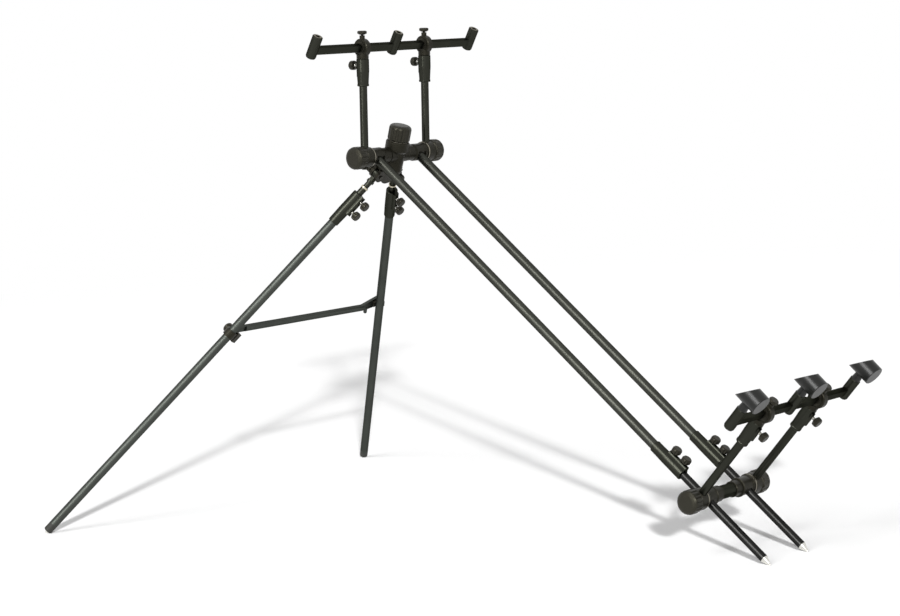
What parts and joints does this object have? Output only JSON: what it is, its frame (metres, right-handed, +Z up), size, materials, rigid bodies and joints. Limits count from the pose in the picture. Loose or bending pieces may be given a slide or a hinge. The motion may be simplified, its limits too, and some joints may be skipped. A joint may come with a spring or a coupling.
{
  "type": "rod pod",
  "caption": "Folding fishing rod pod: twin telescopic rails on spikes, splayed legs with a brace, height-adjustable buzz bars, threaded front bosses and butt cradles at the rear.",
  "frame": {"origin": "on the floor, at the middle of the pod's length and width", "axes": "+Z up, +X towards the angler (down the rails), +Y to the right of an angler who faces the water"},
  "size_m": [1.4428, 0.879, 0.8973],
  "materials": {
    "anodised_tube": "dark satin anodised tube",
    "cast_black": "black painted casting",
    "knob_plastic": "matt black moulded knob",
    "rod_black": "glossy black rod",
    "bright_steel": "bright turned steel",
    "plain_alloy": "plain turned alloy",
    "cradle_rubber": "firm black rubber",
    "foot_rubber": "black rubber foot"
  },
  "bodies": {
    "head": {"hub_block": "cast_black", "front_axle": "plain_alloy", "leg_yoke": "cast_black", "front_washers": "bright_steel"},
    "hub_knob": {"hub_knob": "knob_plastic"},
    "front_knob_left": {"front_knob_left": "knob_plastic"},
    "front_knob_right": {"front_knob_right": "knob_plastic"},
    "rails": {"rail_knuckles": "cast_black", "rail_tubes": "anodised_tube", "rail_collars": "anodised_tube"},
    "rail_screw_left_upper": {"rail_screw_left_upper": "knob_plastic"},
    "rail_screw_left_lower": {"rail_screw_left_lower": "knob_plastic"},
    "rail_screw_right_upper": {"rail_screw_right_upper": "knob_plastic"},
    "rail_screw_right_lower": {"rail_screw_right_lower": "knob_plastic"},
    "rods": {"rail_rods": "rod_black", "rail_spikes": "bright_steel"},
    "front_stand": {"front_drums": "cast_black", "front_uprights": "anodised_tube", "front_collars": "anodised_tube"},
    "front_lift": {"front_clamps": "cast_black"},
    "front_bar": {"front_bushes": "knob_plastic", "front_buzz_bar": "anodised_tube"},
    "rear_cross": {"rear_crossbar": "anodised_tube", "rear_rail_clamps": "cast_black", "rear_washers": "bright_steel"},
    "rear_stand": {"rear_drums": "cast_black", "rear_uprights": "anodised_tube", "rear_collars": "anodised_tube"},
    "rear_lift": {"rear_clamps": "cast_black"},
    "rear_bar": {"rear_bushes": "knob_plastic", "rear_buzz_bar": "anodised_tube", "butt_cradles": "cradle_rubber"},
    "front_lock_left": {"front_lock_left": "knob_plastic"},
    "front_clamp_screw_left": {"front_clamp_screw_left": "knob_plastic"},
    "rear_lock_left": {"rear_lock_left": "knob_plastic"},
    "rear_clamp_screw_left": {"rear_clamp_screw_left": "knob_plastic"},
    "rear_knob_left": {"rear_knob_left": "knob_plastic"},
    "leg_pivot_left": {"leg_pivot_left": "knob_plastic"},
    "leg_left": {"leg_stem_left": "anodised_tube", "brace_clamp": "cast_black"},
    "leg_slider_left": {"leg_tube_left": "anodised_tube", "leg_collar_left": "anodised_tube", "foot_left": "foot_rubber"},
    "leg_screw_left_upper": {"leg_screw_left_upper": "knob_plastic"},
    "leg_screw_left_lower": {"leg_screw_left_lower": "knob_plastic"},
    "front_lock_right": {"front_lock_right": "knob_plastic"},
    "front_clamp_screw_right": {"front_clamp_screw_right": "knob_plastic"},
    "rear_lock_right": {"rear_lock_right": "knob_plastic"},
    "rear_clamp_screw_right": {"rear_clamp_screw_right": "knob_plastic"},
    "rear_knob_right": {"rear_knob_right": "knob_plastic"},
    "leg_pivot_right": {"leg_pivot_right": "knob_plastic"},
    "leg_right": {"leg_stem_right": "anodised_tube"},
    "leg_slider_right": {"leg_tube_right": "anodised_tube", "leg_collar_right": "anodised_tube", "foot_right": "foot_rubber"},
    "leg_screw_right_upper": {"leg_screw_right_upper": "knob_plastic"},
    "leg_screw_right_lower": {"leg_screw_right_lower": "knob_plastic"},
    "brace": {"brace_bar": "anodised_tube", "brace_hook": "knob_plastic"},
    "brace_knob": {"brace_knob": "knob_plastic"}
  },
  "joints": [
    {"name": "hub_knob_turn", "type": "hinge", "parent": "head", "child": "hub_knob", "pos_m": [-0.16691, 0, 0.69937], "axis": [0.309, 0, 0.9511], "continuous": true},
    {"name": "front_knob_turn_left", "type": "hinge", "parent": "head", "child": "front_knob_left", "pos_m": [-0.17618, -0.1031, 0.67084], "axis": [0, -1, 0], "continuous": true},
    {"name": "front_knob_turn_right", "type": "hinge", "parent": "head", "child": "front_knob_right", "pos_m": [-0.17618, 0.1031, 0.67084], "axis": [0, 1, 0], "continuous": true},
    {"name": "rails_pitch", "type": "hinge", "parent": "head", "child": "rails", "pos_m": [-0.17618, 0, 0.67084], "axis": [0, 1, 0], "range_deg": [-20, 60]},
    {"name": "rail_screw_turn_left_upper", "type": "hinge", "parent": "rails", "child": "rail_screw_left_upper", "pos_m": [0.46019, -0.056, 0.17038], "axis": [0.6347, 0, 0.7727], "continuous": true},
    {"name": "rail_screw_turn_left_lower", "type": "hinge", "parent": "rails", "child": "rail_screw_left_lower", "pos_m": [0.47842, -0.056, 0.1554], "axis": [0.6347, 0, 0.7727], "continuous": true},
    {"name": "rail_screw_turn_right_upper", "type": "hinge", "parent": "rails", "child": "rail_screw_right_upper", "pos_m": [0.46019, 0.056, 0.17038], "axis": [0.6347, 0, 0.7727], "continuous": true},
    {"name": "rail_screw_turn_right_lower", "type": "hinge", "parent": "rails", "child": "rail_screw_right_lower", "pos_m": [0.47842, 0.056, 0.1554], "axis": [0.6347, 0, 0.7727], "continuous": true},
    {"name": "rods_extend", "type": "slide", "parent": "rails", "child": "rods", "axis": [0.7727, 0, -0.6347], "range_m": [0, 0.25]},
    {"name": "front_stand_tilt", "type": "hinge", "parent": "head", "child": "front_stand", "pos_m": [-0.17618, 0, 0.67084], "axis": [0, 1, 0], "range_deg": [-40, 60]},
    {"name": "front_lift_rise", "type": "slide", "parent": "front_stand", "child": "front_lift", "axis": [0.0523, 0, 0.9986], "range_m": [0, 0.12]},
    {"name": "front_bar_roll", "type": "hinge", "parent": "front_lift", "child": "front_bar", "pos_m": [-0.16592, 0, 0.86657], "axis": [0, 1, 0], "range_deg": [-45, 45]},
    {"name": "rear_cross_shift", "type": "slide", "parent": "rods", "child": "rear_cross", "axis": [0.7727, 0, -0.6347], "range_m": [-0.03, 0.08]},
    {"name": "rear_stand_tilt", "type": "hinge", "parent": "rear_cross", "child": "rear_stand", "pos_m": [0.51696, 0, 0.10149], "axis": [0, 1, 0], "range_deg": [-45, 30]},
    {"name": "rear_lift_rise", "type": "slide", "parent": "rear_stand", "child": "rear_lift", "axis": [0.6743, 0, 0.7385], "range_m": [0, 0.12]},
    {"name": "rear_bar_roll", "type": "hinge", "parent": "rear_lift", "child": "rear_bar", "pos_m": [0.65587, 0, 0.25361], "axis": [0, 1, 0], "range_deg": [-40, 40]},
    {"name": "front_lock_turn_left", "type": "hinge", "parent": "front_stand", "child": "front_lock_left", "pos_m": [-0.18555, -0.0831, 0.83606], "axis": [-0.9986, 0, 0.0523], "continuous": true},
    {"name": "front_clamp_screw_turn_left", "type": "hinge", "parent": "front_lift", "child": "front_clamp_screw_left", "pos_m": [-0.16488, -0.0831, 0.88655], "axis": [0.0523, 0, 0.9986], "continuous": true},
    {"name": "rear_lock_turn_left", "type": "hinge", "parent": "rear_stand", "child": "rear_lock_left", "pos_m": [0.64792, -0.0786, 0.21821], "axis": [0.7385, 0, -0.6743], "continuous": true},
    {"name": "rear_clamp_screw_turn_left", "type": "hinge", "parent": "rear_lift", "child": "rear_clamp_screw_left", "pos_m": [0.66935, -0.0786, 0.26838], "axis": [0.6743, 0, 0.7385], "continuous": true},
    {"name": "rear_knob_turn_left", "type": "hinge", "parent": "rear_cross", "child": "rear_knob_left", "pos_m": [0.51696, -0.0986, 0.10149], "axis": [0, -1, 0], "continuous": true},
    {"name": "front_lock_turn_right", "type": "hinge", "parent": "front_stand", "child": "front_lock_right", "pos_m": [-0.18555, 0.0831, 0.83606], "axis": [-0.9986, 0, 0.0523], "continuous": true},
    {"name": "front_clamp_screw_turn_right", "type": "hinge", "parent": "front_lift", "child": "front_clamp_screw_right", "pos_m": [-0.16488, 0.0831, 0.88655], "axis": [0.0523, 0, 0.9986], "continuous": true},
    {"name": "rear_lock_turn_right", "type": "hinge", "parent": "rear_stand", "child": "rear_lock_right", "pos_m": [0.64792, 0.0786, 0.21821], "axis": [0.7385, 0, -0.6743], "continuous": true},
    {"name": "rear_clamp_screw_turn_right", "type": "hinge", "parent": "rear_lift", "child": "rear_clamp_screw_right", "pos_m": [0.66935, 0.0786, 0.26838], "axis": [0.6743, 0, 0.7385], "continuous": true},
    {"name": "rear_knob_turn_right", "type": "hinge", "parent": "rear_cross", "child": "rear_knob_right", "pos_m": [0.51696, 0.0986, 0.10149], "axis": [0, 1, 0], "continuous": true},
    {"name": "leg_fold_left", "type": "hinge", "parent": "head", "child": "leg_left", "pos_m": [-0.20427, -0.02254, 0.63616], "axis": [0.7771, 0, -0.6293], "range_deg": [0, 24]},
    {"name": "leg_fold_right", "type": "hinge", "parent": "head", "child": "leg_right", "pos_m": [-0.20427, 0.02254, 0.63616], "axis": [-0.7771, 0, 0.6293], "range_deg": [0, 24]},
    {"name": "leg_pivot_turn_left", "type": "hinge", "parent": "head", "child": "leg_pivot_left", "pos_m": [-0.20427, -0.02254, 0.63616], "axis": [-0.7771, 0, 0.6293], "continuous": true},
    {"name": "leg_extend_left", "type": "slide", "parent": "leg_left", "child": "leg_slider_left", "axis": [-0.5617, -0.4509, -0.6937], "range_m": [0, 0.19]},
    {"name": "leg_screw_turn_left_upper", "type": "hinge", "parent": "leg_slider_left", "child": "leg_screw_left_upper", "pos_m": [-0.22371, -0.04888, 0.58482], "axis": [0.7771, 0, -0.6293], "continuous": true},
    {"name": "leg_screw_turn_left_lower", "type": "hinge", "parent": "leg_slider_left", "child": "leg_screw_left_lower", "pos_m": [-0.23696, -0.05952, 0.56845], "axis": [0.7771, 0, -0.6293], "continuous": true},
    {"name": "leg_pivot_turn_right", "type": "hinge", "parent": "head", "child": "leg_pivot_right", "pos_m": [-0.20427, 0.02254, 0.63616], "axis": [0.7771, 0, -0.6293], "continuous": true},
    {"name": "leg_extend_right", "type": "slide", "parent": "leg_right", "child": "leg_slider_right", "axis": [-0.5617, 0.4509, -0.6937], "range_m": [0, 0.19]},
    {"name": "leg_screw_turn_right_upper", "type": "hinge", "parent": "leg_slider_right", "child": "leg_screw_right_upper", "pos_m": [-0.22371, 0.04888, 0.58482], "axis": [0.7771, 0, -0.6293], "continuous": true},
    {"name": "leg_screw_turn_right_lower", "type": "hinge", "parent": "leg_slider_right", "child": "leg_screw_right_lower", "pos_m": [-0.23696, 0.05952, 0.56845], "axis": [0.7771, 0, -0.6293], "continuous": true},
    {"name": "brace_swing", "type": "hinge", "parent": "leg_left", "child": "brace", "pos_m": [-0.44798, -0.1843, 0.36031], "axis": [0.7771, 0, -0.6293], "range_deg": [0, 20]},
    {"name": "brace_knob_turn", "type": "hinge", "parent": "leg_left", "child": "brace_knob", "pos_m": [-0.44798, -0.1843, 0.36031], "axis": [-0.7771, 0, 0.6293], "continuous": true}
  ],
  "couplings": [
    {"joint": "leg_fold_right", "follows": "leg_fold_left", "ratio": 1}
  ]
}
